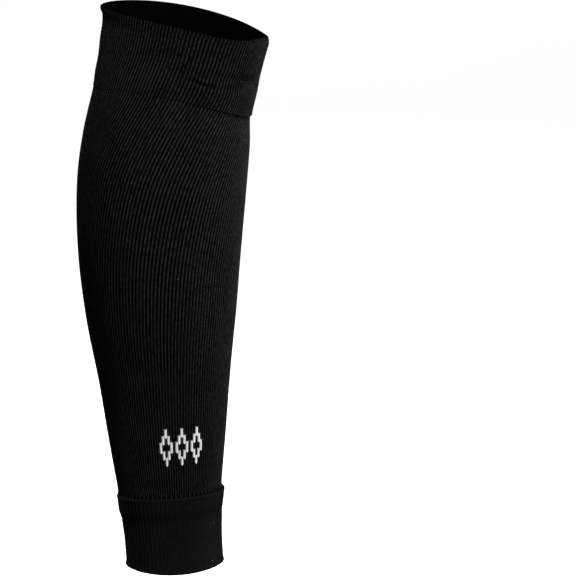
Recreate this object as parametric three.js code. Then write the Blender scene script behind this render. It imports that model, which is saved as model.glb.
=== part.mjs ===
import * as THREE from "three";

// A football sock sleeve: a footless rib-knit tube for the lower leg, in the form that a leg gives it.
// Three knitted parts lie end to end: a double-layer top cuff, a single-layer leg tube, and a double-layer
// ankle cuff whose upper end is a thicker joining band.
// Frame, in millimetres: the origin is on the leg's axis at the widest level of the calf. +Z runs up the leg
// to the knee, +X points to the shin, and -Y to the outer side of the leg.

// Driving sizes of the leg inside the knit.
const LEG_HEIGHT = 361.5; // centre of the ankle opening to centre of the top opening
const CALF_DEPTH = 108.4; // shin to calf at the widest level
const CALF_WIDTH = 114; // across the leg at that level

const CORNER_AT = 342; // where that corner lies round the leg: degrees from the shin, through the inner side
const CORNER_REACH = 20; // how far it reaches to each side, degrees

// Driving sizes of the knit.
const KNIT_WALL = 1.2; // one layer, in the valleys between ribs
const CUFF_WALL = 2.4; // the turned, double layer of the cuffs
const BAND_WALL = 2.9; // the joining band of the ankle cuff, where the turned edge is linked to the tube
const TOP_CUFF = 51; // height of the top cuff
const ANKLE_CUFF = 49.5; // height of the ankle cuff, band included
const JOIN_BAND = 12; // height of the joining band
const BAND_EASE = 5; // height over which the band thins to the cuff
const RIM_FLARE = 1.1; // how far the top fold rolls outward
const HEM_FLARE = 0.6; // the same at the ankle fold
const LEG_RIBS = 148; // ribs round the top cuff and the leg tube
const ANKLE_RIBS = 74; // the ankle cuff is knitted two by two, at half the count
const RIB_CROWD = 0.08; // how much closer ribs lie at the shin and the calf, where the knit is less stretched
const RIB_RELIEF = 0.5; // height of a rib above its valleys
const ANKLE_RELIEF = 0.3; // the same on the ankle cuff
const SEAM_GAP = 0.3; // clearance between two parts that meet

// How finely the walls are cut into flat facets.
const TUBE_LEVELS = [0, 0.23, 0.44, 0.6, 0.74, 0.87, 1]; // shares of the tube's length, closest at the calf
const CUFF_LEVELS = [0.28, 0.42, 0.58]; // shares of TOP_CUFF, through the dents and between them
const LINING_POINTS = 36; // points round every inner wall
const GIRTH_STEPS = 720; // steps that measure the girth

// The leg, from the ankle opening up to the knee, with a row for each level that shapes it.
// up: height, as a share of LEG_HEIGHT. lean: centre's distance to the shin side, as a share of CALF_DEPTH.
// depth, width: shares of CALF_DEPTH and CALF_WIDTH. point: how much the shin half narrows, below 0 widens.
// wind: degrees that the ribs have turned round the leg, from calf to shin along the outer side.
// front, outer, sides: how far a knitted course at this level lies out of square, as shares of CALF_WIDTH:
// lower at the shin and higher at the calf, lower outside and higher inside, higher on both sides, and higher
// at the corner between the shin and the outer side.
const LEG = rowsOf("up lean depth width point wind front outer sides corner", [
  [0.0, 0.07, 0.541, 0.52, -0.02, 0, 0.006, -0.004, -0.022, 0],
  [0.065, 0.057, 0.55, 0.53, -0.02, 0, 0, 0, -0.011, 0],
  [0.138, 0.043, 0.602, 0.574, -0.02, 0, -0.005, 0, 0.01, 0],
  [0.23, 0.028, 0.681, 0.648, -0.03, 0, 0, 0, 0, 0],
  [0.35, 0.011, 0.777, 0.749, -0.04, 0, 0, 0, 0, 0],
  [0.466, -0.007, 0.888, 0.877, -0.04, 1.4, 0, 0, 0, 0],
  [0.585, -0.015, 0.964, 0.96, -0.02, 5.1, 0, 0, 0.009, 0],
  [0.703, 0, 1, 1, -0.05, 11.8, 0, 0, 0.0215, 0],
  [0.792, 0.033, 0.983, 0.98, -0.08, 22.1, 0, 0, 0.043, 0],
  [0.857, 0.063, 0.936, 0.935, -0.14, 31.8, 0.002, 0, 0.0585, 0],
  [0.921, 0.109, 0.936, 0.918, -0.23, 34.2, 0.0086, 0.0103, 0.0473, 0],
  [1.0, 0.146, 0.965, 0.925, -0.28, 36.8, 0.036, 0.021, 0.033, 0.031],
]);
const CALF_UP = LEG.find((row) => row.depth === 1).up;

// The dents of the top cuff, where it has slipped a little.
// at: degrees round the leg from the shin, through the inner side. reach: half length, degrees.
// up: height. fall: how much lower the shin end lies. soft: half height. All three are shares of TOP_CUFF.
// deep: depth, as a share of CUFF_WALL.
const DENTS = rowsOf("at up reach fall soft deep", [
  [316, 0.42, 36, -0.04, 0.09, 0.6],
  [266, 0.57, 14, -0.04, 0.09, 0.5],
]);

function rowsOf(columns, rows) {
  return rows.map((row) => Object.fromEntries(columns.split(" ").map((column, i) => [column, row[i]])));
}

// A column of the leg's table at any height, on a smooth curve through the rows.
function leg(column, up) {
  const last = LEG.length - 1;
  const found = LEG.findIndex((row) => row.up > up);
  const i = found < 0 ? last : Math.max(found, 1);
  const slope = (n) => {
    const [a, b] = [LEG[Math.max(n - 1, 0)], LEG[Math.min(n + 1, last)]];
    return (b[column] - a[column]) / (b.up - a.up);
  };
  const [a, b] = [LEG[i - 1], LEG[i]];
  const span = b.up - a.up;
  const t = (up - a.up) / span;
  const s = 1 - t;
  const between = a[column] * s * s * (1 + 2 * t) + b[column] * t * t * (3 - 2 * t);
  return between + span * t * s * (slope(i - 1) * s - slope(i) * t);
}

// The leg's outline at one level. Its points are asked for by their share of the girth, counted from the shin
// through the inner side.
function outlineAt(up) {
  const halfDepth = (leg("depth", up) * CALF_DEPTH) / 2;
  const halfWidth = (leg("width", up) * CALF_WIDTH) / 2;
  const point = leg("point", up);
  const at = (angle) => {
    const [c, s] = [Math.cos(angle), Math.sin(angle)];
    const across = new THREE.Vector2(halfDepth * c, halfWidth * s * (1 - point * c));
    const ahead = new THREE.Vector2(-halfDepth * s, halfWidth * (c - point * (c * c - s * s)));
    return { across, outward: new THREE.Vector2(ahead.y, -ahead.x).normalize(), angle };
  };
  const lengths = [0];
  for (let i = 1; i <= GIRTH_STEPS; i++) {
    const [a, b] = [i - 1, i].map((n) => at((2 * Math.PI * n) / GIRTH_STEPS).across);
    lengths.push(lengths[i - 1] + a.distanceTo(b));
  }
  return (share) => {
    const wanted = (share - Math.floor(share)) * lengths.at(-1);
    let [low, high] = [0, lengths.length - 1];
    while (high - low > 1) {
      const middle = (low + high) >> 1;
      if (lengths[middle] <= wanted) low = middle;
      else high = middle;
    }
    const t = (wanted - lengths[low]) / (lengths[high] - lengths[low]);
    return at((2 * Math.PI * (low + t)) / GIRTH_STEPS);
  };
}

// How far an angle lies from a number of degrees, in degrees from -180 to 180.
const degreesFrom = (angle, at) => ((THREE.MathUtils.radToDeg(angle) - at + 540) % 360) - 180;
const fade = (t) => Math.exp(-t * t);

// The share of the girth where a rib lies, from its turn round the leg.
const crowded = (turn) => turn - (RIB_CROWD * Math.sin(4 * Math.PI * turn)) / (4 * Math.PI);

// One closed ring of points round the leg. off: distance outside the leg. rise: distance up its axis.
// relief: height of the ribs, whose crests are the even points. shape: an extra distance outward at an angle.
function ring({ up, off, rise = 0, points = LINING_POINTS, relief = 0, shape = () => 0 }) {
  const step = 1e-3;
  const lean = (leg("lean", up + step) - leg("lean", up - step)) / (2 * step);
  const tilt = Math.atan((lean * CALF_DEPTH) / LEG_HEIGHT);
  const [c, s] = [Math.cos(tilt), Math.sin(tilt)];
  const centre = { x: leg("lean", up) * CALF_DEPTH, z: (up - CALF_UP) * LEG_HEIGHT };
  const outline = outlineAt(up);
  const count = Math.round(points);
  return Array.from({ length: count }, (_, i) => {
    const { across, outward, angle } = outline(crowded(i / count + leg("wind", up) / 360));
    const out = off + (i % 2 ? 0 : relief) + shape(angle);
    const ahead = across.x + out * outward.x;
    const lift = leg("sides", up) * Math.sin(angle) ** 2
      + leg("outer", up) * Math.sin(angle) - leg("front", up) * Math.cos(angle)
      + leg("corner", up) * fade(degreesFrom(angle, CORNER_AT) / CORNER_REACH);
    return new THREE.Vector3(
      centre.x + ahead * c + rise * s,
      across.y + out * outward.y,
      centre.z - ahead * s + rise * c + lift * CALF_WIDTH,
    );
  });
}

// A closed wall from rings that follow its cross-section once round: up the outside and down the inside.
// Rings that meet may have different numbers of points: the faces step along whichever ring is behind.
function wall(rings) {
  const positions = rings.flat().flatMap((p) => [p.x, p.y, p.z]);
  const starts = rings.map((_, i) => rings.slice(0, i).reduce((n, r) => n + r.length, 0));
  const faces = [];
  rings.forEach((lower, i) => {
    const next = (i + 1) % rings.length;
    const upper = rings[next];
    const onLower = (n) => starts[i] + (n % lower.length);
    const onUpper = (n) => starts[next] + (n % upper.length);
    let [a, b] = [0, 0];
    while (a < lower.length || b < upper.length) {
      if ((a + 1) * upper.length <= (b + 1) * lower.length) {
        faces.push(onLower(a), onLower(a + 1), onUpper(b));
        a += 1;
      } else {
        faces.push(onLower(a), onUpper(b + 1), onUpper(b));
        b += 1;
      }
    }
  });
  const geometry = new THREE.BufferGeometry();
  geometry.setAttribute("position", new THREE.Float32BufferAttribute(positions, 3));
  geometry.setIndex(faces);
  geometry.computeVertexNormals();
  return geometry;
}

// How far the dents draw the cuff in, at an angle round the leg and a height in the cuff.
function dentAt(angle, height) {
  return -DENTS.reduce((sum, { at, up, reach, fall, soft, deep }) => {
    const sideways = degreesFrom(angle, at) / reach;
    const upward = (height / TOP_CUFF - up + fall * sideways) / soft;
    return sum + deep * CUFF_WALL * fade(sideways) * fade(upward);
  }, 0);
}

const share = (height) => height / LEG_HEIGHT;
const ribPoints = (ribs) => 2 * Math.round(ribs);

// The single-layer tube that covers the calf.
function legTube() {
  const [low, high] = [share(ANKLE_CUFF + SEAM_GAP), 1 - share(TOP_CUFF + SEAM_GAP)];
  const levels = TUBE_LEVELS.map((level) => low + level * (high - low));
  const outside = { off: KNIT_WALL, relief: RIB_RELIEF, points: ribPoints(LEG_RIBS) };
  return wall([
    ...levels.map((up) => ring({ up, ...outside })),
    ...levels.reverse().map((up) => ring({ up, off: 0 })),
  ]);
}

// The turned cuff under the knee, folded over at its top edge.
function topCuff() {
  const bottom = 1 - share(TOP_CUFF);
  const edge = CUFF_WALL / 2;
  const heights = [edge, ...CUFF_LEVELS.map((level) => level * TOP_CUFF), TOP_CUFF - 3 * edge];
  const outside = { relief: RIB_RELIEF, points: ribPoints(LEG_RIBS) };
  const dented = (height) => ({ up: bottom + share(height), shape: (angle) => dentAt(angle, height) });
  return wall([
    ring({ up: bottom, off: CUFF_WALL - RIB_RELIEF, ...outside }),
    ...heights.map((height) => ring({ ...dented(height), off: CUFF_WALL, ...outside })),
    ring({ up: 1, rise: -edge, off: CUFF_WALL + RIM_FLARE, ...outside }),
    ring({ up: 1, off: edge + RIM_FLARE }),
    ring({ up: 1, rise: -edge, off: RIM_FLARE }),
    ...heights.slice(1).reverse().map((height) => ring({ ...dented(height), off: 0 })),
    ring({ up: bottom, off: 0 }),
  ]);
}

// The turned cuff above the ankle, with its thicker band at the top and its fold at the bottom.
function ankleCuff() {
  const edge = CUFF_WALL / 2;
  const outside = { relief: ANKLE_RELIEF, points: ribPoints(ANKLE_RIBS) };
  const bandFoot = ANKLE_CUFF - JOIN_BAND;
  const plain = [3 * edge, bandFoot - BAND_EASE];
  const band = [bandFoot, ANKLE_CUFF - JOIN_BAND / 2, ANKLE_CUFF - edge];
  return wall([
    ring({ up: 0, off: edge + HEM_FLARE }),
    ring({ up: 0, rise: edge, off: CUFF_WALL + HEM_FLARE, ...outside }),
    ...plain.map((height) => ring({ up: share(height), off: CUFF_WALL, ...outside })),
    ...band.map((height) => ring({ up: share(height), off: BAND_WALL, ...outside })),
    ring({ up: share(ANKLE_CUFF), off: BAND_WALL - edge / 2, ...outside }),
    ...[ANKLE_CUFF, bandFoot, ...plain.reverse()].map((height) => ring({ up: share(height), off: 0 })),
    ring({ up: 0, rise: edge, off: HEM_FLARE }),
  ]);
}

function knit(name, geometry, color) {
  const material = new THREE.MeshStandardMaterial({ color, roughness: 0.95, metalness: 0 });
  const mesh = new THREE.Mesh(geometry, material);
  mesh.name = name;
  return mesh;
}

const sleeve = new THREE.Group();
sleeve.add(knit("top_cuff", topCuff(), 0x161616));
sleeve.add(knit("leg_tube", legTube(), 0x151515));
sleeve.add(knit("ankle_cuff", ankleCuff(), 0x121212));

export default sleeve;
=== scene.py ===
import math

import bpy
import numpy as np
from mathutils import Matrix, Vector


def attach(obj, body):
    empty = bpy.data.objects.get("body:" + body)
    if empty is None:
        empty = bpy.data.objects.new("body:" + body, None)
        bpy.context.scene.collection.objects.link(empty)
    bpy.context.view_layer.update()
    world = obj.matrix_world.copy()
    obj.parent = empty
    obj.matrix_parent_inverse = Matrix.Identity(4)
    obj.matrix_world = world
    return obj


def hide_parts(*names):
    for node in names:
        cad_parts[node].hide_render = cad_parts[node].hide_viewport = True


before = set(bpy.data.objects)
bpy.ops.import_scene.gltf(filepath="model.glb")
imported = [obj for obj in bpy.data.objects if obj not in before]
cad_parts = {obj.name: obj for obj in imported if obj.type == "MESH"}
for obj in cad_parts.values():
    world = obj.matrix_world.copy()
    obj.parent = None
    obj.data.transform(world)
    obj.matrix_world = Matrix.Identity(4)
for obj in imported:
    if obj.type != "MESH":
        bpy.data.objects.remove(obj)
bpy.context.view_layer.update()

# A football sock sleeve of black rib knit, in the form that a leg gives it. Lengths are in metres.
# The origin is on the leg's axis at the widest level of the calf. +Z runs up the leg to the knee, +X points
# to the shin, and -Y to the outer side of the leg, which the camera sees.
# Places round the leg are in degrees from the shin through the inner side, so the outer side is at 270.

# The leg inside the knit, and the knit, as in the model.
LEG_HEIGHT = 0.3615
CALF_DEPTH = 0.1084
CALF_WIDTH = 0.114
KNIT_WALL = 0.0012
CUFF_WALL = 0.0024
BAND_WALL = 0.0029
TOP_CUFF = 0.051
ANKLE_CUFF = 0.0495
JOIN_BAND = 0.012
BAND_EASE = 0.005
RIM_FLARE = 0.0011
HEM_FLARE = 0.0006
LEG_RIBS = 148
ANKLE_RIBS = 74
RIB_CROWD = 0.08
RIB_RELIEF = 0.0005
ANKLE_RELIEF = 0.0003
SEAM_GAP = 0.0003

# What the knit adds to the model's plain ribs.
RIB_DEPTH = 0.0008  # crest to valley, with the crests where the model has them
STITCH = 0.0015  # height of one course
EDGE = 0.00005  # how close a second row lies to a sharp edge, to keep the shading flat up to it

# The lift of the rim at the corner between the shin and the outer side, a little wider and higher than the
# model's. Its height is in the last row of LEG_ROWS.
CORNER_AT = 339
CORNER_REACH = 22  # towards the outer side, degrees
CORNER_REACH_BEHIND = 32  # round the shin, degrees

# The top cuff.
RIM_EASE = 0.014  # height over which it flares to its fold
RIM_EASE_SHIN = 0.65  # how much higher that is at the shin, and lower at the calf, as a share
RIM_FLARE_SHIN = 0.35  # how much wider the flare is at the shin, as a share
RIM_LEAN = 0.0013  # how far the fold leans in at the shin
RIM_LEAN_HEIGHT = 0.006
FOLD_LIGHT = 0.6  # share of the yarn's lightness that is left where the fold turns in: painted shade
HEM_ROUND = 0.3  # radius of the lower edge, as a share of half the wall
HEM_THIN = 0.0009  # how much thinner the hem is where it lies flat on the tube, everywhere but at the shin
HEM_EASE = 0.009
HEM_FLAT = {"from": 0.85, "ease": 0.9}  # cosines of the angle from the shin

# The row of small holes where the ankle cuff is linked to the tube.
SEAM = 0.1 * SEAM_GAP  # the seams are nearly closed
LINK_DEPTH = 0.0007
LINK_HEIGHT = 0.0013
LINK_SOFT = 0.5  # how far a hole reaches into the cuff, as a share of LINK_HEIGHT
LINK_RIDGE = 0.0003  # the raised course just under the holes
RIDGE_PLACE = {"below": 1.3, "soft": 0.8}  # shares of LINK_HEIGHT

# The ankle cuff.
WALE_DEPTH = 0.0001  # its fine wales, two to a rib
CALF_SIDE_AT = 228  # where its broad ribs are deepest
CALF_SIDE_REACH = 32
RIBS_ELSEWHERE = 0.12  # share of their depth that is left all round
SHIN_FULL = 0.0005  # how much fuller the cuff is at the shin
BAND_SINK = 0.0004  # the hollow under the joining band
BAND_SINK_HEIGHT = 0.0035
BAND_SINK_BELOW = 0.2  # how far it lies under the band's foot, as a share of BAND_EASE
BAND_LEAN = 0.001  # how far the joining band slants at the calf
BAND_LEAN_REACH = 50
BAND_SLANT = [0, 0.6, -0.5]  # share of BAND_LEAN that it is out: under its foot, at its foot and at its top

# How light the ankle cuff's yarn is all round; the painted light that makes it lighter on its calf side and
# on the raised course; and the painted shade that makes it darker in the hollow, more so in the hollow's
# calf side, and in the valleys of the calf side.
ANKLE_LIGHT = {"all": 0.8, "side": 0.7, "ridge": 0.2, "hollow": 0.12, "side_hollow": 0.3, "valley": 0.65}

# How finely the walls are cut.
POINTS_PER_RIB = 6
POINTS_PER_ANKLE_RIB = 8
LINING_POINTS = 240
TUBE_ROWS = 84
CUFF_ROWS = 46
ANKLE_ROWS = 36
BAND_ROWS = 24
CUFF_LINING_ROWS = 24
GIRTH_STEPS = 1440

# The leg, from the ankle opening up to the knee, as in the model.
# up: height, as a share of LEG_HEIGHT. lean: centre's distance to the shin side, as a share of CALF_DEPTH.
# depth, width: shares of CALF_DEPTH and CALF_WIDTH. point: how much the shin half narrows, below 0 widens.
# wind: degrees that the ribs have turned round the leg, from calf to shin along the outer side.
# front, outer, sides, corner: how far a knitted course lies out of square, as shares of CALF_WIDTH: lower
# at the shin, higher inside, higher on both sides, and higher at the corner.
LEG_COLUMNS = "up lean depth width point wind front outer sides corner".split()
LEG_ROWS = np.array([
    [0.0, 0.07, 0.541, 0.52, -0.02, 0, 0.006, -0.004, -0.022, 0],
    [0.065, 0.057, 0.55, 0.53, -0.02, 0, 0, 0, -0.011, 0],
    [0.138, 0.043, 0.602, 0.574, -0.02, 0, -0.005, 0, 0.01, 0],
    [0.23, 0.028, 0.681, 0.648, -0.03, 0, 0, 0, 0, 0],
    [0.35, 0.011, 0.777, 0.749, -0.04, 0, 0, 0, 0, 0],
    [0.466, -0.007, 0.888, 0.877, -0.04, 1.4, 0, 0, 0, 0],
    [0.585, -0.015, 0.964, 0.96, -0.02, 5.1, 0, 0, 0.009, 0],
    [0.703, 0, 1, 1, -0.05, 11.8, 0, 0, 0.0215, 0],
    [0.792, 0.033, 0.983, 0.98, -0.08, 22.1, 0, 0, 0.043, 0],
    [0.857, 0.063, 0.936, 0.935, -0.14, 31.8, 0.002, 0, 0.0585, 0],
    [0.921, 0.109, 0.936, 0.918, -0.23, 34.2, 0.0086, 0.0103, 0.0473, 0],
    [1.0, 0.146, 0.965, 0.925, -0.28, 36.8, 0.036, 0.021, 0.033, 0.037],
])
LEG = dict(zip(LEG_COLUMNS, LEG_ROWS.T))
CALF_UP = LEG["up"][LEG["depth"] == 1][0]

# Dents of the top cuff. at, reach: degrees round the leg. up, fall, soft: shares of TOP_CUFF.
# deep: share of CUFF_WALL. The first two are the model's; the last is a shallow waist under the fold.
DENT_COLUMNS = "at up reach fall soft deep".split()
DENTS = [dict(zip(DENT_COLUMNS, row)) for row in [
    [316, 0.42, 36, -0.04, 0.09, 0.6],
    [266, 0.57, 14, -0.04, 0.09, 0.5],
    [182, 0.83, 40, 0.0, 0.15, 0.45],
]]

# Creases in and beside the dents: the knit bulges above each one and sinks below it, and each is painted
# darker.
# dark: how much of the yarn's lightness the painted shade in it takes off.
CREASES = [dict(zip(DENT_COLUMNS + ["dark"], row)) for row in [
    [262, 0.49, 14, 0.0, 0.03, 0.12, 0.4],
    [277, 0.545, 4, -0.12, 0.05, 0.2, 0.85],
    [291, 0.33, 11, 0.008, 0.03, 0.2, 0.75],
    [312, 0.37, 18, -0.06, 0.04, 0.08, 0.3],
    [331, 0.51, 9, 0.0, 0.06, 0.1, 0.35],
]]

# Painted shade on the calf side of the tube, darkest at its middle. at, reach: degrees round the
# leg. up, soft: shares of LEG_HEIGHT. dark: how much of the yarn's lightness it takes off.
CALF_PAINTED_SHADE = {"at": 216, "reach": 27, "up": 0.56, "soft": 0.3, "dark": 0.45}

# The white motif: a row of plain lozenges, knitted in. Sizes in ribs and courses.
MOTIF_AT = {"degrees": 287.2, "up": 0.2308}
LOZENGES = 3
LOZENGE_PITCH = 6
LOZENGE_HALF_WIDTH = 2.9
LOZENGE_HALF_HEIGHT = 8.3
LOZENGE_HOLLOW = 0.55  # share of the lozenge that stays black inside it
MOTIF_GREYS = (0.42, 0.86)  # its gaps and its yarn

# The yarn. VALLEY_GREY: the colour of the rib valleys, painted near-black as painted shade. Bends: how
# steeply a course rises from a rib's middle to its valleys, in courses to a rib.
VALLEY_GREY = 0.0004
STITCH_BEND = 1.2
MOTIF_BEND = 0.8
NOISE_SPAN = (0.3, 0.7)  # where nearly all values of a noise lie
YARN_GRAIN = {"rib": 0.9, "course": 0.45}  # cells to a rib and to a course
FINE_GRAIN = 1100.0  # cells to a metre, as in the next two
BROAD_GRAIN = 55.0
LINT = {"scale": 90.0, "size": 0.03, "share": 0.45, "grey": 0.1}
BUMP = 0.00025


def leg(column, up):
    """A column of the leg's table at any height, on a smooth curve through the rows."""
    ups, values = LEG["up"], LEG[column]
    last = len(ups) - 1
    before, after = np.maximum(np.arange(last + 1) - 1, 0), np.minimum(np.arange(last + 1) + 1, last)
    slopes = (values[after] - values[before]) / (ups[after] - ups[before])
    i = int(np.clip(np.searchsorted(ups, up, side="right"), 1, last))
    span = ups[i] - ups[i - 1]
    t = (up - ups[i - 1]) / span
    s = 1 - t
    between = values[i - 1] * s * s * (1 + 2 * t) + values[i] * t * t * (3 - 2 * t)
    return between + span * t * s * (slopes[i - 1] * s - slopes[i] * t)


def across_at(up, angle):
    """Places on the leg's outline at a level and angles, and the directions straight out of it."""
    half_depth = leg("depth", up) * CALF_DEPTH / 2
    half_width = leg("width", up) * CALF_WIDTH / 2
    point = leg("point", up)
    c, s = np.cos(angle), np.sin(angle)
    place = np.stack([half_depth * c, half_width * s * (1 - point * c)], 1)
    out = np.stack([half_width * (c - point * (c * c - s * s)), half_depth * s], 1)
    return place, out / np.linalg.norm(out, axis=1, keepdims=True)


def girth_at(up):
    """Angles all round the leg, and how far round it each of them lies, as a share of the girth."""
    steps = np.linspace(0, 2 * math.pi, GIRTH_STEPS + 1)
    place, _ = across_at(up, steps)
    lengths = np.concatenate([[0], np.cumsum(np.linalg.norm(np.diff(place, axis=0), axis=1))])
    return steps, lengths / lengths[-1]


def crowded(turn):
    """The share of the girth where a rib lies: the knit is stretched less at the shin and the calf."""
    return turn - RIB_CROWD * np.sin(4 * math.pi * turn) / (4 * math.pi)


def angles_at(up, points):
    """The turns of a ring's points, and the angles round the leg where they lie."""
    turn = np.arange(points) / points
    steps, shares = girth_at(up)
    return turn, np.interp(crowded(turn + leg("wind", up) / 360) % 1, shares, steps)


def ring(up, off, rise=0.0, points=LINING_POINTS):
    """A closed ring of points, off outside the leg: a distance, or a function of turn and angle."""
    step = 1e-3
    lean = (leg("lean", up + step) - leg("lean", up - step)) / (2 * step)
    tilt = math.atan(lean * CALF_DEPTH / LEG_HEIGHT)
    c, s = math.cos(tilt), math.sin(tilt)
    turn, angle = angles_at(up, points)
    place, out = across_at(up, angle)
    distance = off(turn, angle) if callable(off) else np.full(points, off)
    ahead = place[:, 0] + distance * out[:, 0]
    past = degrees_from(angle, CORNER_AT)
    reach = np.where(past > 0, CORNER_REACH_BEHIND, CORNER_REACH)
    lift = (
        leg("sides", up) * np.sin(angle) ** 2
        + leg("outer", up) * np.sin(angle)
        - leg("front", up) * np.cos(angle)
        + leg("corner", up) * np.exp(-(past / reach) ** 2)
    )
    return np.stack([
        leg("lean", up) * CALF_DEPTH + ahead * c + rise * s,
        place[:, 1] + distance * out[:, 1],
        (up - CALF_UP) * LEG_HEIGHT - ahead * s + rise * c + lift * CALF_WIDTH,
    ], 1)


def bridge(start_a, count_a, start_b, count_b):
    """Faces between two rings: quads where their counts match, or else triangles."""
    if count_a == count_b:
        k = np.arange(count_a)
        n = (k + 1) % count_a
        return np.stack([start_a + k, start_a + n, start_b + n, start_b + k], 1).tolist()
    faces = []
    a = b = 0
    while a < count_a or b < count_b:
        here_a, next_a = start_a + a % count_a, start_a + (a + 1) % count_a
        here_b, next_b = start_b + b % count_b, start_b + (b + 1) % count_b
        if (a + 1) * count_b <= (b + 1) * count_a:
            faces.append((here_a, next_a, here_b))
            a += 1
        else:
            faces.append((here_a, next_b, here_b))
            b += 1
    return faces


class Wall:
    """A closed wall, from rings added up the outside and down the inside."""

    def __init__(self, ribs):
        self.ribs = ribs
        self.rings, self.heights, self.tones = [], [], []

    def add(self, points, height, tone=0.0):
        """tone: how light the yarn is painted: 0 on the inside, painted black as painted shade, and about 1
        on the outside, lowered there by painted shade and raised by painted light.
        """
        self.rings.append(points)
        self.heights.append(height)
        self.tones.append(tone)

    def per_point(self, values):
        return np.concatenate([np.broadcast_to(v, len(r)) for v, r in zip(values, self.rings)])

    def piece(self, name):
        counts = [len(r) for r in self.rings]
        starts = np.concatenate([[0], np.cumsum(counts)[:-1]]).tolist()
        faces = []
        for i in range(len(counts)):
            j = (i + 1) % len(counts)
            faces += bridge(starts[i], counts[i], starts[j], counts[j])
        mesh = bpy.data.meshes.new(name)
        mesh.from_pydata(np.concatenate(self.rings).tolist(), [], faces)
        tone = mesh.attributes.new("tone", "FLOAT", "POINT")
        tone.data.foreach_set("value", self.per_point(self.tones).astype(np.float32))
        self.map_knit(mesh)
        mesh.shade_smooth()
        piece = bpy.data.objects.new(name, mesh)
        bpy.context.scene.collection.objects.link(piece)
        return piece

    def map_knit(self, mesh):
        """A UV map that counts ribs round the leg and courses along it."""
        turn = np.concatenate([np.arange(len(r)) / len(r) for r in self.rings]) * self.ribs
        course = self.per_point(self.heights) / STITCH
        corner = np.empty(len(mesh.loops), dtype=np.int32)
        totals = np.empty(len(mesh.polygons), dtype=np.int32)
        firsts = np.empty(len(mesh.polygons), dtype=np.int32)
        mesh.loops.foreach_get("vertex_index", corner)
        mesh.polygons.foreach_get("loop_total", totals)
        mesh.polygons.foreach_get("loop_start", firsts)
        u = turn[corner]
        widest = np.repeat(np.maximum.reduceat(u, firsts), totals)
        u = np.where(widest - u > self.ribs / 2, u + self.ribs, u)
        layer = mesh.uv_layers.new(name="knit")
        layer.data.foreach_set("uv", np.stack([u, course[corner]], 1).astype(np.float32).ravel())


def crests(turn, ribs):
    """1 on the crest of each rib and 0 in the valleys."""
    return 0.5 + 0.5 * np.cos(2 * math.pi * ribs * turn)


def degrees_from(angle, at):
    return (np.degrees(angle) - at + 180) % 360 - 180


def place_in(dent, angle, height):
    """Where a place on the top cuff lies along and across a dent or crease, in its own sizes."""
    along = degrees_from(angle, dent["at"]) / dent["reach"]
    return along, (height / TOP_CUFF - dent["up"] + dent["fall"] * along) / dent["soft"]


def dented(angle, height):
    """How far out the dents leave the top cuff."""
    total = np.zeros_like(angle)
    for dent in DENTS:
        along, across = place_in(dent, angle, height)
        total -= dent["deep"] * CUFF_WALL * np.exp(-along**2 - across**2)
    return total


def creased(angle, height):
    """How far out the creases put the top cuff, and the share of light left by the painted shade in them.
    """
    total, light = np.zeros_like(angle), np.ones_like(angle)
    for crease in CREASES:
        along, across = place_in(crease, angle, height)
        reach = np.exp(-along**2 - across**2)
        total += 2 * crease["deep"] * CUFF_WALL * across * reach
        light *= 1 - crease["dark"] * np.exp(-along**4 - 2 * across**2)
    return total, light


def smooth(t):
    t = np.clip(t, 0, 1)
    return t * t * (3 - 2 * t)


def ribbed(turn, base, fade=1.0):
    """The ribbed outside of the cuff or the tube, with base the level of the model's valleys."""
    depth = RIB_DEPTH * fade
    return base + RIB_RELIEF - depth + depth * crests(turn, LEG_RIBS)


def links(turn):
    """1 at each hole of the row where the ankle cuff is linked to the tube, and 0 between them."""
    return (1 - crests(turn, ANKLE_RIBS)) ** 2


def leg_tube():
    wall = Wall(LEG_RIBS)
    low, high = ANKLE_CUFF + SEAM, LEG_HEIGHT - TOP_CUFF - SEAM
    foot = low + LINK_HEIGHT * np.array([0.35, 0.7, 1.1, 1.6])
    for height in [low, low + EDGE, *foot, *np.linspace(foot[-1], high - EDGE, TUBE_ROWS)[1:], high]:
        # The foot is drawn out towards the joining band between the holes, and sinks in them.
        near = math.exp(-((height - low) / LINK_HEIGHT) ** 2)

        def off(turn, angle):
            drawn = near * (0.5 * (BAND_WALL - KNIT_WALL) * (1 - links(turn)) - LINK_DEPTH * links(turn))
            return ribbed(turn, KNIT_WALL, 1 - 0.5 * near) + drawn

        up, points = height / LEG_HEIGHT, LEG_RIBS * POINTS_PER_RIB
        turn, angle = angles_at(up, points)
        # Painted shade, darker on the tube's calf side.
        aside = degrees_from(angle, CALF_PAINTED_SHADE["at"]) / CALF_PAINTED_SHADE["reach"]
        level = (up - CALF_PAINTED_SHADE["up"]) / CALF_PAINTED_SHADE["soft"]
        light = 1 - CALF_PAINTED_SHADE["dark"] * np.exp(-aside**2 - level**2)
        # The link holes are painted darker, as painted shade.
        wall.add(ring(up, off, points=points), height, light * (1 - near * links(turn)))
    # The lining is painted black, as painted shade.
    for height in np.linspace(high, low, TUBE_ROWS // 4):
        wall.add(ring(height / LEG_HEIGHT, 0.0), height)
    return wall.piece("leg_knit_tube")


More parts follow.
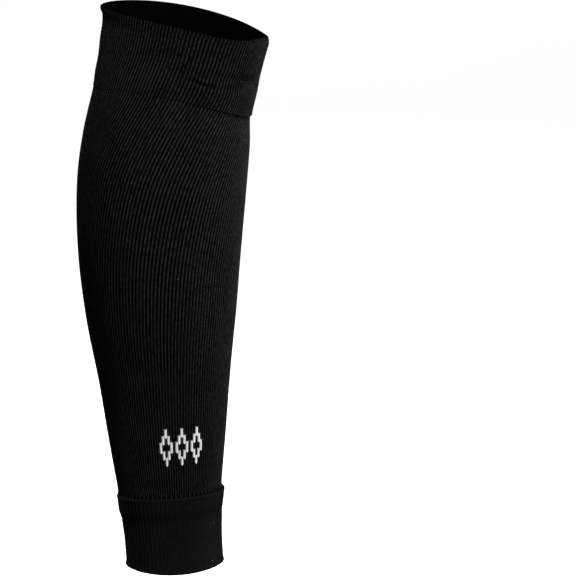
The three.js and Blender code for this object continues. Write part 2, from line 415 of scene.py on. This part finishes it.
def top_cuff():
    wall = Wall(LEG_RIBS)
    bottom = 1 - TOP_CUFF / LEG_HEIGHT
    edge = CUFF_WALL / 2

    def flared(angle, height):
        """The flare to the fold, short at the calf and long at the shin, where it leans in again."""
        ease = RIM_EASE * (1 + RIM_EASE_SHIN * np.cos(angle))
        shin = np.maximum(np.cos(angle), 0) ** 4
        flare = RIM_FLARE * (1 + RIM_FLARE_SHIN * shin) * smooth((height - TOP_CUFF + ease) / (ease - edge))
        return flare - RIM_LEAN * shin * smooth((height - TOP_CUFF + RIM_LEAN_HEIGHT) / RIM_LEAN_HEIGHT)

    def outer(height, tone=1.0, inward=0.0, fade=1.0, rise=0.0):
        near_hem = 1 - smooth(height / HEM_EASE)

        def off(turn, angle):
            flat = near_hem * smooth((HEM_FLAT["from"] - np.cos(angle)) / HEM_FLAT["ease"])
            bulge, _ = creased(angle, height)
            base = CUFF_WALL - inward + flared(angle, height + rise) - HEM_THIN * flat
            return ribbed(turn, base, fade) + dented(angle, height) + bulge

        up, points = min(bottom + height / LEG_HEIGHT, 1.0), LEG_RIBS * POINTS_PER_RIB
        _, angle = angles_at(up, points)
        # Painted shade in the creases.
        _, light = creased(angle, height)
        wall.add(ring(up, off, rise=rise, points=points), height + rise, tone * light)

    # The lower edge is a small round.
    hem = edge * HEM_ROUND
    for fold in np.radians([-75, -45, -15]):
        c = math.cos(fold)
        outer(hem * (1 + math.sin(fold)), 1.0, hem * (1 - c), 0.5 + 0.5 * c)
    for height in np.linspace(edge, TOP_CUFF - 3 * edge, CUFF_ROWS):
        outer(height)
    # The fold flares, and rolls over to the inside; as it turns in, its colour is painted darker, as
    # painted shade.
    for share in np.linspace(0.25, 1, 4):
        outer(TOP_CUFF, tone=1 - (1 - FOLD_LIGHT) * share, rise=-edge * (3 - 2 * share))
    for fold in np.radians([20, 40, 60, 80]):
        c, rise = math.cos(fold), edge * (math.sin(fold) - 1)
        outer(TOP_CUFF, tone=FOLD_LIGHT * smooth(2.5 * c - 1.5), inward=edge * (1 - c), fade=c, rise=rise)
    # The rest of the fold and the lining are painted black, as painted shade.
    for fold in np.radians([100, 120, 140, 160, 180]):
        middle, rise = edge + edge * math.cos(fold), edge * (math.sin(fold) - 1)
        wall.add(ring(1.0, lambda turn, angle: middle + flared(angle, TOP_CUFF), rise), TOP_CUFF)
    for height in np.linspace(TOP_CUFF - 3 * edge, 0, CUFF_LINING_ROWS):
        wall.add(ring(bottom + height / LEG_HEIGHT, lambda turn, angle: dented(angle, height)), height)
    return wall.piece("top_cuff_knit")


def ankle_cuff():
    wall = Wall(ANKLE_RIBS)
    edge = CUFF_WALL / 2
    band_foot = ANKLE_CUFF - JOIN_BAND

    def outer(height, base, tone=1.0, fade=1.0, rise=0.0):
        below_links = (ANKLE_CUFF - height) / LINK_HEIGHT
        ridge = math.exp(-((below_links - RIDGE_PLACE["below"]) / RIDGE_PLACE["soft"]) ** 2)
        link = math.exp(-(below_links / LINK_SOFT) ** 2)
        hollow = math.exp(-((height - band_foot + BAND_SINK_BELOW * BAND_EASE) / BAND_SINK_HEIGHT) ** 2)
        band_slant = np.interp(height, [band_foot - BAND_EASE, band_foot, ANKLE_CUFF], BAND_SLANT)

        def calf_side(angle):
            return np.exp(-(degrees_from(angle, CALF_SIDE_AT) / CALF_SIDE_REACH) ** 2)

        def off(turn, angle):
            deep = ANKLE_RELIEF * (RIBS_ELSEWHERE + (1 - RIBS_ELSEWHERE) * calf_side(angle))
            valley = deep * (1 - crests(turn, ANKLE_RIBS))
            ribs = ANKLE_RELIEF - valley + WALE_DEPTH * crests(turn, 2 * ANKLE_RIBS)
            sink = BAND_SINK * hollow + LINK_DEPTH * link * links(turn)
            slant = BAND_LEAN * band_slant * np.exp(-(degrees_from(angle, 180) / BAND_LEAN_REACH) ** 2)
            full = SHIN_FULL * np.maximum(np.cos(angle), 0)
            return base + full + slant + fade * ribs + LINK_RIDGE * ridge - sink

        up, points = height / LEG_HEIGHT, ANKLE_RIBS * POINTS_PER_ANKLE_RIB
        turn, angle = angles_at(up, points)
        # Painted light on the calf side and the raised course, and painted shade in the hollow, the link
        # holes and the calf side's valleys.
        side = calf_side(angle)
        light = ANKLE_LIGHT["all"] + ANKLE_LIGHT["side"] * side + ANKLE_LIGHT["ridge"] * ridge
        light = light - hollow * (ANKLE_LIGHT["hollow"] + ANKLE_LIGHT["side_hollow"] * side)
        light = light * (1 - link * links(turn))
        light = light * (1 - ANKLE_LIGHT["valley"] * side * (1 - crests(turn, ANKLE_RIBS)))
        wall.add(ring(up, off, rise=rise, points=points), height + rise, tone * light)

    # The fold at the bottom rolls out and up, and the band's upper edge is a small round; both are painted
    # darker as they turn under or in, as painted shade.
    for fold in np.radians([-100, -80, -60, -40, -20, 0]):
        c = max(math.cos(fold), 0.0)
        outer(0, edge + HEM_FLARE + edge * math.cos(fold), c, c, edge * (1 + math.sin(fold)))
    for height in np.linspace(2 * edge, band_foot - BAND_EASE, ANKLE_ROWS):
        outer(height, CUFF_WALL + HEM_FLARE * max(0.0, 1 - height / (4 * edge)))
    for t in np.linspace(0.1, 1, 8):
        outer(band_foot - BAND_EASE * (1 - t), CUFF_WALL + (BAND_WALL - CUFF_WALL) * smooth(t))
    for height in np.linspace(band_foot, ANKLE_CUFF - edge, BAND_ROWS)[1:]:
        outer(height, BAND_WALL)
    for fold in np.radians([20, 40, 60, 85]):
        c = math.cos(fold)
        outer(ANKLE_CUFF - edge * (1 - math.sin(fold)), BAND_WALL - edge * (1 - c), c, c)
    # The lining and the inside of the bottom fold are painted black, as painted shade.
    for height in np.linspace(ANKLE_CUFF, 3 * edge, CUFF_LINING_ROWS):
        wall.add(ring(height / LEG_HEIGHT, 0.0), height)
    for fold in np.radians([180, 160, 140, 120]):
        off = edge + HEM_FLARE + edge * math.cos(fold)
        wall.add(ring(0, off, rise=edge * (1 - math.sin(fold))), 0.0)
    return wall.piece("ankle_cuff_knit")


class Nodes:
    """Short calls for a material's nodes. A number or a socket can be given for any input."""

    def __init__(self, tree):
        self.tree = tree

    def put(self, socket, value):
        if isinstance(value, bpy.types.NodeSocket):
            self.tree.links.new(value, socket)
        else:
            socket.default_value = value

    def add(self, kind, **inputs):
        node = self.tree.nodes.new(kind)
        for name, value in inputs.items():
            self.put(node.inputs[name.replace("_", " ")], value)
        return node

    def math(self, operation, *values):
        node = self.tree.nodes.new("ShaderNodeMath")
        node.operation = operation
        for socket, value in zip(node.inputs, values):
            self.put(socket, value)
        return node.outputs[0]

    def ramp(self, value, low, high, to_low, to_high):
        node = self.tree.nodes.new("ShaderNodeMapRange")
        node.interpolation_type = "SMOOTHSTEP"
        for socket, number in zip(node.inputs, (value, low, high, to_low, to_high)):
            self.put(socket, number)
        return node.outputs[0]

    def noise(self, place, scale, detail=2.0):
        return self.add("ShaderNodeTexNoise", Vector=place, Scale=scale, Detail=detail).outputs["Fac"]

    def mix(self, factor, a, b):
        node = self.tree.nodes.new("ShaderNodeMix")
        node.data_type = "RGBA"
        for socket, value in zip((node.inputs[0], node.inputs[6], node.inputs[7]), (factor, a, b)):
            self.put(socket, value)
        return node.outputs[2]


def grey(value):
    return (value, value, value, 1.0)


def motif_mask(n, rib, course):
    """1 on the stitches of the lozenges. Each stitch is all white or all black."""
    degrees, up = MOTIF_AT["degrees"], MOTIF_AT["up"]
    _, angle = angles_at(up, LEG_RIBS)
    centre_rib = int(np.argmin(np.abs(degrees_from(angle, degrees))))
    centre_course = round(up * LEG_HEIGHT / STITCH) + 0.5
    aside = n.math("SUBTRACT", n.math("ROUND", rib), centre_rib)
    within = n.math("LESS_THAN", n.math("ABSOLUTE", aside), LOZENGES * LOZENGE_PITCH / 2)
    from_centre = n.math("PINGPONG", n.math("ADD", aside, LOZENGES * LOZENGE_PITCH), LOZENGE_PITCH / 2)
    # The courses rise to both sides of each rib's middle, so the edge is jagged.
    bent = n.math("MULTIPLY_ADD", n.math("PINGPONG", rib, 0.5), -MOTIF_BEND, course)
    course_middle = n.math("ADD", n.math("FLOOR", bent), 0.5)
    along = n.math("ABSOLUTE", n.math("SUBTRACT", course_middle, centre_course))
    aside_share = n.math("DIVIDE", from_centre, LOZENGE_HALF_WIDTH)
    reach = n.math("ADD", aside_share, n.math("DIVIDE", along, LOZENGE_HALF_HEIGHT))
    hollow = n.math("GREATER_THAN", reach, LOZENGE_HOLLOW)
    return n.math("MULTIPLY", n.math("MULTIPLY", within, hollow), n.math("LESS_THAN", reach, 1.0))


def knit_material(name, light, painted_valley_shade=1.0, wales=1, uneven=1.0, motif=False):
    """Black rib knit. light: the grey of its wales. wales: how many to a rib. painted_valley_shade: how
    dark the valleys between them are painted, as painted shade.
    """

    def spread(value, below, above):
        """A factor from a noise, from below 1 to above it."""
        return n.ramp(value, *NOISE_SPAN, 1 - below * uneven, 1 + above * uneven)

    material = bpy.data.materials.new(name)
    material.use_nodes = True
    tree = material.node_tree
    tree.nodes.clear()
    n = Nodes(tree)
    uv = n.add("ShaderNodeUVMap")
    uv.uv_map = "knit"
    split = n.add("ShaderNodeSeparateXYZ", Vector=uv.outputs[0])
    rib, course = n.math("MULTIPLY", split.outputs[0], wales), split.outputs[1]
    place = n.add("ShaderNodeTexCoord").outputs["Object"]
    painted_light_and_shade = n.add("ShaderNodeAttribute")
    painted_light_and_shade.attribute_name = "tone"

    wave = n.math("MULTIPLY_ADD", n.math("COSINE", n.math("MULTIPLY", rib, 2 * math.pi)), 0.5, 0.5)
    crestness = n.math("MULTIPLY_ADD", n.math("POWER", wave, 2.0), painted_valley_shade, 1 - painted_valley_shade)
    # Stitches: each course rises to both sides of each rib's middle, like a row of Vs.
    bent = n.math("MULTIPLY_ADD", n.math("PINGPONG", rib, 0.5), -STITCH_BEND, course)
    stitch = n.math("COSINE", n.math("MULTIPLY", bent, 2 * math.pi))
    # The yarn is uneven along each rib.
    across = n.math("MULTIPLY", rib, YARN_GRAIN["rib"])
    along = n.math("MULTIPLY", course, YARN_GRAIN["course"])
    yarn = n.noise(n.add("ShaderNodeCombineXYZ", X=across, Y=along).outputs[0], 1.0, 3.0)
    fine = n.noise(place, FINE_GRAIN)
    broad = n.noise(place, BROAD_GRAIN)
    # The tone is light on the wales, painted dark in the valleys as painted shade, and uneven with the
    # yarn, its grain, the stitches and the cloth.
    tone = n.math("MULTIPLY", crestness, spread(yarn, 0.45, 0.35))
    tone = n.math("MULTIPLY", tone, spread(fine, 0.2, 0.2))
    tone = n.math("MULTIPLY", tone, n.math("MULTIPLY_ADD", stitch, 0.12, 0.94))
    tone = n.math("MULTIPLY", tone, spread(broad, 0.12, 0.12))
    # The tone attribute paints light and shade: black inside, darker in the creases, folds, hollow, holes
    # and on the tube's calf side, lighter on the ankle cuff's calf side and raised course.
    tone = n.math("MULTIPLY", tone, painted_light_and_shade.outputs["Fac"])
    color = n.mix(tone, grey(VALLEY_GREY), grey(light))
    if motif:
        gap_grey, yarn_grey = MOTIF_GREYS
        whiteness = n.math("MULTIPLY", wave, n.ramp(yarn, *NOISE_SPAN, 0.85, 1.0))
        white = n.mix(whiteness, grey(gap_grey), grey(yarn_grey))
        mask = n.math("MULTIPLY", motif_mask(n, rib, course), painted_light_and_shade.outputs["Fac"])
        color = n.mix(mask, color, white)

    # Lint: a few tiny pale specks.
    cells = n.add("ShaderNodeTexVoronoi", Vector=place, Scale=LINT["scale"])
    near = n.math("LESS_THAN", cells.outputs["Distance"], LINT["size"])
    chosen = n.add("ShaderNodeSeparateColor", Color=cells.outputs["Color"]).outputs[0]
    speck = n.math("MULTIPLY", near, n.math("LESS_THAN", chosen, LINT["share"]))
    color = n.mix(n.math("MULTIPLY", speck, painted_light_and_shade.outputs["Fac"]), color, grey(LINT["grey"]))

    stitch_height, grain = n.math("MULTIPLY", crestness, 0.35), n.math("MULTIPLY", fine, 0.6)
    height = n.math("MULTIPLY_ADD", stitch, stitch_height, grain)
    bump = n.add("ShaderNodeBump", Height=height, Strength=0.6, Distance=BUMP)
    shader = n.add("ShaderNodeBsdfPrincipled", Base_Color=color, Roughness=0.85, Normal=bump.outputs[0])
    shader.inputs["Specular IOR Level"].default_value = 0.0
    out = n.add("ShaderNodeOutputMaterial")
    tree.links.new(shader.outputs[0], out.inputs[0])
    return material


def place_camera():
    """The camera looks at the outer side from a little above, and sees the sleeve at the left."""
    size, sensor = 576, 36  # pixels, and millimetres
    pixel = 0.000659  # metres at the sleeve's own distance
    distance = 3.0
    elevation = math.radians(8.9)
    origin_at = (161.7, 184.9)  # pixels from the frame's upper left corner
    right, up = Vector((1, 0, 0)), Vector((0, math.sin(elevation), math.cos(elevation)))
    forward = Vector((0, math.cos(elevation), -math.sin(elevation)))
    target = right * (size / 2 - origin_at[0]) * pixel - up * (size / 2 - origin_at[1]) * pixel
    data = bpy.data.cameras.new("camera")
    data.sensor_width = sensor
    data.lens = data.sensor_width * distance / (pixel * size)
    camera = bpy.data.objects.new("camera", data)
    camera.location = target - forward * distance
    camera.rotation_mode = "QUATERNION"
    camera.rotation_quaternion = forward.to_track_quat("-Z", "Y")
    bpy.context.scene.collection.objects.link(camera)
    bpy.context.scene.camera = camera


def area_light(name, place, size, watts, aim=(0, 0, 0)):
    data = bpy.data.lights.new(name, "AREA")
    data.shape = "RECTANGLE"
    data.size, data.size_y = size
    data.energy = watts
    light = bpy.data.objects.new(name, data)
    light.location = place
    light.rotation_mode = "QUATERNION"
    light.rotation_quaternion = (Vector(aim) - Vector(place)).to_track_quat("-Z", "Y")
    light.visible_camera = False
    bpy.context.scene.collection.objects.link(light)


def light_studio():
    world = bpy.data.worlds.new("studio")
    bpy.context.scene.world = world
    world.use_nodes = True
    background = world.node_tree.nodes["Background"]
    background.inputs["Color"].default_value = grey(1.0)
    background.inputs["Strength"].default_value = 0.06
    area_light("key", (0.28, -0.83, 0.9), (0.5, 0.5), 36, aim=(0.0, 0, 0.12))
    area_light("shin_edge", (1.5, 0.45, -0.1), (0.5, 1.6), 70, aim=(0, 0, -0.08))
    area_light("calf_edge", (-1.2, 1.12, -0.15), (0.4, 1.6), 75, aim=(0, 0, -0.08))
    bpy.context.scene.view_settings.view_transform = "Standard"


def studio_floor():
    """A pale floor at the level of the sole, which bends up far away into a pale wall all round."""
    level, reach, height, bend = -0.35, 5.0, 6.0, 1.5
    sides = 96
    profile = [(reach - bend, level)]
    for a in np.radians(np.linspace(10, 90, 9)):
        profile.append((reach - bend + bend * math.sin(a), level + bend * (1 - math.cos(a))))
    profile.append((reach, height))
    turns = np.linspace(0, 2 * math.pi, sides, endpoint=False)
    points = [(0, 0, level)] + [(r * math.cos(t), r * math.sin(t), z) for r, z in profile for t in turns]
    faces = [(0, 1 + k, 1 + (k + 1) % sides) for k in range(sides)]
    for i in range(len(profile) - 1):
        a, b = 1 + i * sides, 1 + (i + 1) * sides
        faces += [(a + k, b + k, b + (k + 1) % sides, a + (k + 1) % sides) for k in range(sides)]
    mesh = bpy.data.meshes.new("studio_floor")
    mesh.from_pydata(points, [], faces)
    mesh.shade_smooth()
    floor = bpy.data.objects.new("studio_floor", mesh)
    bpy.context.scene.collection.objects.link(floor)
    material = bpy.data.materials.new("studio_white")
    material.use_nodes = True
    shader = material.node_tree.nodes["Principled BSDF"]
    shader.inputs["Base Color"].default_value = grey(0.8)
    shader.inputs["Roughness"].default_value = 0.9
    shader.inputs["Emission Color"].default_value = grey(1.0)
    shader.inputs["Emission Strength"].default_value = 0.9
    mesh.materials.append(material)
    floor.visible_diffuse = False
    floor.visible_glossy = False


def dress(piece, node, material):
    """Gives the piece its material, hangs it on the root body, and hides the model's part that it replaces.
    """
    piece.data.materials.append(material)
    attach(piece, "root")
    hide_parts(node)


place_camera()
leg_knit = knit_material("black_leg_knit", 0.015, motif=True)
cuff_knit = knit_material("black_cuff_knit", 0.0135)
ankle_knit = knit_material("black_ankle_knit", 0.0105, painted_valley_shade=0.7, wales=2, uneven=0.5)
dress(leg_tube(), "leg_tube", leg_knit)
dress(top_cuff(), "top_cuff", cuff_knit)
dress(ankle_cuff(), "ankle_cuff", ankle_knit)
studio_floor()
light_studio()
